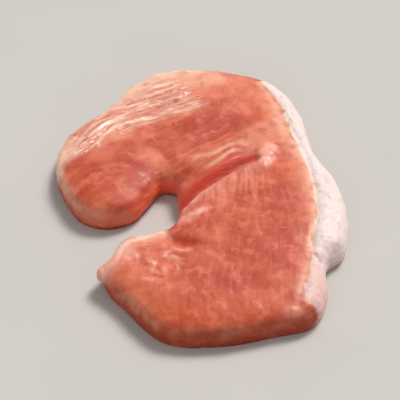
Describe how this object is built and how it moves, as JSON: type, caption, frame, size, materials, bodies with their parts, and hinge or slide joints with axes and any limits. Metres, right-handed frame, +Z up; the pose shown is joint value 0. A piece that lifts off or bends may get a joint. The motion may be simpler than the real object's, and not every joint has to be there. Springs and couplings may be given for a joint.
{
  "type": "raw turkey chop",
  "caption": "Boneless slice cut across a raw turkey thigh, with a fat rim on the thick side and an open gap where the bone was.",
  "frame": {"origin": "middle of the slice's footprint, on the flat face that it lies on", "axes": "+X towards the fat rim, +Y along the slice towards its back edge, +Z up from the face that it lies on"},
  "size_m": [0.0938, 0.1376, 0.0115],
  "materials": {
    "raw_meat": "wet raw muscle, salmon red, with a white fat rim, pale connective tissue and fine fibres"
  },
  "bodies": {
    "root": {"turkey_chop": "raw_meat"}
  },
  "joints": []
}
